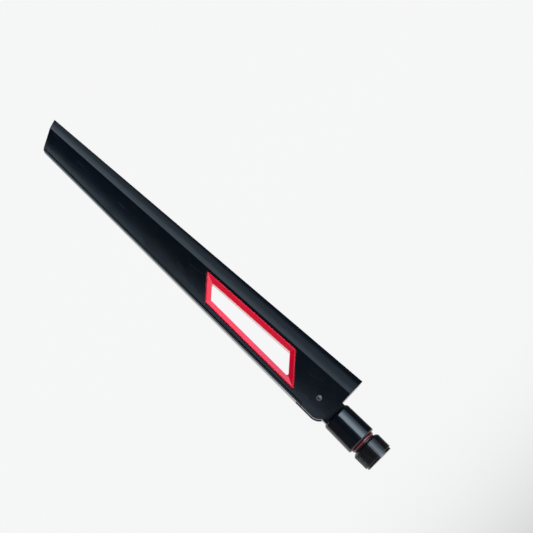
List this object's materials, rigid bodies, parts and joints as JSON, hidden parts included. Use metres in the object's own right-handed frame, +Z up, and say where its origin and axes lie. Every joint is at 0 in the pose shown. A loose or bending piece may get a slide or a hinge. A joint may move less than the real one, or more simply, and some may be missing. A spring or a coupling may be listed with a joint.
{
  "type": "omnidirectional antenna",
  "caption": "Blade-shaped dual-band omnidirectional antenna with a framed window, a tilt hinge and a swivel screw connector with a knurled coupling nut.",
  "frame": {"origin": "centre of the coupling nut's mouth, on the connector axis", "axes": "+Z up the antenna along the connector axis, -Y out of the front face with the window, +X towards the sloping wing edge"},
  "size_m": [0.0261, 0.0142, 0.2007],
  "materials": {
    "black_plastic": "satin moulded black",
    "grip_plastic": "ribbed satin black",
    "red_plastic": "glossy moulded red",
    "nickel_brass": "nickel-plated brass, turned",
    "steel": "stainless steel, satin",
    "gold_contact": "gold-plated brass",
    "ptfe": "white fluoropolymer, matt",
    "bush_plastic": "natural acetal",
    "rubber_seal": "soft red-brown silicone",
    "coax_jacket": "grey-black fluoropolymer jacket, satin",
    "board": "green solder mask over glass laminate",
    "copper": "tinned copper foil",
    "solder": "dull tin solder",
    "foam": "closed-cell dark grey foam"
  },
  "bodies": {
    "plug": {"plug_body": "nickel_brass", "plug_insulator": "ptfe", "centre_contact": "gold_contact", "swivel_bush": "bush_plastic", "friction_washer": "steel", "swivel_circlip": "steel", "thrust_washer": "bush_plastic", "crimp_ferrule": "nickel_brass", "plug_gasket": "rubber_seal", "nut_retaining_clip": "steel"},
    "nut": {"coupling_nut": "nickel_brass", "nut_grip": "grip_plastic"},
    "knuckle": {"knuckle_body": "black_plastic", "accent_ring": "red_plastic", "barrel_retainer": "black_plastic", "hinge_washer_front": "steel", "hinge_washer_rear": "steel"},
    "blade": {"front_cover": "black_plastic", "rear_cover": "black_plastic", "window_frame_front": "red_plastic", "window_frame_rear": "red_plastic", "hinge_pin": "steel", "pin_clip": "steel", "coax_cable": "coax_jacket", "antenna_board": "board", "radiator_upper": "copper", "radiator_lower": "copper", "coax_shield_end": "copper", "coax_core_end": "copper", "solder_core": "solder", "solder_shield": "solder", "foam_pad_lower": "foam", "foam_pad_upper": "foam"}
  },
  "joints": [
    {"name": "nut_spin", "type": "hinge", "parent": "plug", "child": "nut", "pos_m": [0, 0, 0], "axis": [0, 0, 1], "continuous": true},
    {"name": "swivel", "type": "hinge", "parent": "plug", "child": "knuckle", "pos_m": [0, 0, 0.0108], "axis": [0, 0, 1], "range_deg": [-170, 170]},
    {"name": "tilt", "type": "hinge", "parent": "knuckle", "child": "blade", "pos_m": [0, 0, 0.0364], "axis": [0, -1, 0], "range_deg": [0, 90], "deforming": ["coax_cable"]}
  ]
}
